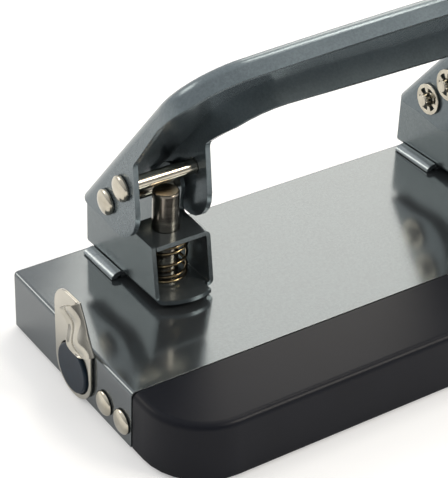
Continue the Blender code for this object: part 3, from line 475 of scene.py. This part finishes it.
# Return springs
# Hard-drawn round wire wound into an open spring with closed ends, dark and oily.
spring_wire = bright_metal("drawn_spring_wire", "5a5040", "a09070", 0.15, (400.0, 400.0, 400.0), 0.05)
wire, coil_radius, turns, count, closing, punch_line = 0.0004, 0.0058, 4.5, 180, 0.72, -0.010
for head, x in heads.items():
    low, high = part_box(f"punch_spring_{head}")
    foot, top = low.z, high.z
    line = bpy.data.curves.new(f"spring_{head}", "CURVE")
    line.dimensions = "3D"
    line.bevel_depth = wire
    line.bevel_resolution = 4
    line.use_fill_caps = True
    run = line.splines.new("POLY")
    run.points.add(count)
    for step in range(count + 1):
        share = step / count
        climb = share - closing * math.sin(math.tau * share) / math.tau
        angle = math.pi + math.tau * turns * share
        run.points[step].co = (x + coil_radius * math.cos(angle), punch_line + coil_radius * math.sin(angle),
                               foot + wire + (top - foot - 2 * wire) * climb, 1)
    spring = bpy.data.objects.new(f"return_spring_{head}", line)
    bpy.context.scene.collection.objects.link(spring)
    bpy.ops.object.select_all(action="DESELECT")
    spring.select_set(True)
    bpy.context.view_layer.objects.active = spring
    bpy.ops.object.convert(target="MESH")
    spring = bpy.context.object
    bpy.ops.object.shade_smooth_by_angle(angle=math.radians(50))
    spring.data.materials.clear()
    spring.data.materials.append(spring_wire)
    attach(spring, "base")
    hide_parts(f"punch_spring_{head}")
    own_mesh(spring)


# Pins, push-nuts and rivets
# Turned steel pins with warm nickel plate. Star-shaped push-nuts grip their plain ends.
nickel = bright_metal("warm_nickel_plate", "a8a294", "c4bfb2", 0.16, (300.0, 300.0, 300.0), 0.04)
dome = 0.0013
for name in list(nodes):
    if name.startswith(("pivot_pin", "press_pin", "end_rivet")):
        # The middle pins are plain and have no head.
        crown = 0 if name.endswith("middle") else dome
        round_again(name, f"{name}_plated", 0, nickel, 0.00018, crown)
    elif name.startswith(("pivot_nut", "press_nut")):
        finished(name, f"{name}_plated", nickel, 0.00012)
    elif name.startswith("bracket_rivet"):
        round_again(name, f"{name}_head", 2, tool_steel, 0.00015)


# Side guide
# A stamped nickel-plated lever on the left end. Its front edge folds over into a thumb tongue,
# and a dark knob covers the rivet that it turns on.
guide_look = bright_metal("satin_nickel_sheet", "a8a59c", "bfbcb2", 0.16, (300.0, 60.0, 60.0), 0.04)
plane, sheet, fold_gap, length, hole = -0.1418, 0.0009, 0.0012, 0.0320, 0.00731
pivot_y, pivot_z, worn_edge = -0.0200, deck - 0.0092, 0.00032

# The plate's corners from the pivot, each with its radius, in shares of the length.
corners = [(0.306, 0.675, 0.206), (0.2875, -0.275, 0.2625), (-0.2625, -0.275, 0.2625),
           (-0.2625, 0.331, 0.090), (-0.078, 0.6875, 0.020)]
corners = [(Vector((y, z)) * length, radius * length) for y, z, radius in corners]
outline = []
for index, (here, radius) in enumerate(corners):
    before = (corners[index - 1][0] - here).normalized()
    after = (corners[(index + 1) % len(corners)][0] - here).normalized()
    half = before.angle(after) / 2
    centre = here + (before + after).normalized() * (radius / math.sin(half))
    first = here + before * (radius / math.tan(half)) - centre
    last = here + after * (radius / math.tan(half)) - centre
    sweep = (math.atan2(last.y, last.x) - math.atan2(first.y, first.x) + math.pi) % math.tau - math.pi
    for step in range(17):
        spin = sweep * step / 16
        outline.append(centre + Vector((first.x * math.cos(spin) - first.y * math.sin(spin),
                                        first.x * math.sin(spin) + first.y * math.cos(spin))))
ring = [Vector((math.cos(t), math.sin(t))) * hole for t in (math.tau * step / 72 for step in range(72))]
bm = bmesh.new()
rims = []
for loop in (outline, ring):
    verts = [bm.verts.new((plane, pivot_y + p.x, pivot_z + p.y)) for p in loop]
    rims += [bm.edges.new((verts[i - 1], verts[i])) for i in range(len(verts))]
bmesh.ops.triangle_fill(bm, edges=rims, use_beauty=True)
grown = bmesh.ops.extrude_face_region(bm, geom=list(bm.faces))["geom"]
bmesh.ops.translate(bm, verts=[v for v in grown if isinstance(v, bmesh.types.BMVert)], vec=(sheet, 0, 0))
sharp = [edge for edge in bm.edges if edge.calc_face_angle(0) > 1]
bmesh.ops.bevel(bm, geom=sharp, offset=worn_edge, segments=3, profile=0.5, affect="EDGES")

# The tongue is swept down the folded edge. Its section wraps round the edge, dips and ends in a
# raised rim, and along its length it rolls in to a crease under the thumb and out again.
# Relief goes across it and rolls go along it, both as shares of the way with shares of a height.
tongue_width, tongue_length, relief_height, roll_height, root = 0.0055, 0.0144, 0.0012, 0.001, 0.0015
along = (corners[3][0] - corners[4][0]).normalized()
across = Vector((-along.y, along.x))
relief = [(0.0, 0.0), (0.08, 0.08), (0.18, 0.10), (0.3, 0.04), (0.42, -0.08), (0.54, -0.20), (0.66, -0.27),
          (0.76, -0.24), (0.83, -0.08), (0.88, 0.14), (0.93, 0.30), (0.97, 0.30), (1.0, 0.12)]
rolls = [(0.0, 0.70), (0.36, -0.65), (0.70, 0.85), (1.0, -0.40)]
middle = fold_gap / 2
rows = []
for step in range(49):
    share = step / 48
    # Both ends are rounded: the width grows from 35 % over the first 12 % and falls to 45 % over the last 16 %.
    upper, lower = 1 - min(share / 0.12, 1), min(max((share - 0.84) / 0.16, 0), 1)
    ends = min(0.35 + 0.65 * math.sqrt(1 - upper ** 2), 0.45 + 0.55 * math.sqrt(1 - lower ** 2))
    for (from_share, from_rise), (to_share, to_rise) in zip(rolls, rolls[1:]):
        if from_share <= share <= to_share:
            part = (share - from_share) / (to_share - from_share)
            rise = from_rise + (to_rise - from_rise) * (1 - math.cos(math.pi * part)) / 2
    reach = tongue_width * ends
    low = fold_gap + roll_height * rise
    section = [(low / 2 + (low / 2 + sheet) * math.cos(t), -(middle + sheet) * math.sin(t))
               for t in (math.pi * (1 - i / 12) for i in range(12))]
    section += [(low + sheet + relief_height * h * ends, reach * t) for t, h in relief]
    section += [(low, reach), (low, reach / 2)]
    section += [(low / 2 * (1 + math.cos(t)), -middle * math.sin(t)) for t in (math.pi * i / 8 for i in range(9))]
    section += [(-sheet * 0.2, root), (-sheet * 0.8, root)]
    spot = corners[4][0] + along * (tongue_length * share)
    rows.append([bm.verts.new((plane - u, pivot_y + spot.x + across.x * w, pivot_z + spot.y + across.y * w))
                 for u, w in section])
for row, after in zip(rows, rows[1:]):
    for index in range(len(row)):
        bm.faces.new((row[index - 1], row[index], after[index], after[index - 1]))
bm.faces.new(rows[0])
bm.faces.new(rows[-1][::-1])
bmesh.ops.recalc_face_normals(bm, faces=bm.faces)
lever = merged("side_guide", "guide_lever")
bm.to_mesh(lever.data)
bm.free()
# Only the plate keeps flat shading, and the tongue's is smooth.
plate = lever.vertex_groups.new(name="flat")
plate.add([vert.index for vert in lever.data.vertices if vert.co.x > plane - 0.00005], 1.0, "REPLACE")
eased(lever, "side_guide", guide_look, 0.00018, 50)
round_again("side_guide_pivot", "guide_rivet", 0, tool_steel, 0.00015)

# The knob is moulded in blue-black plastic with a low sheen.
inlay = mottled("blue_black_knob", "0c1722", "142534", 0.35, 500.0, 3.0)
inlay.node_tree.nodes["Principled BSDF"].inputs["Specular IOR Level"].default_value = 0.2
round_again("side_guide_insert", "guide_knob", 0, inlay, 0.0002)
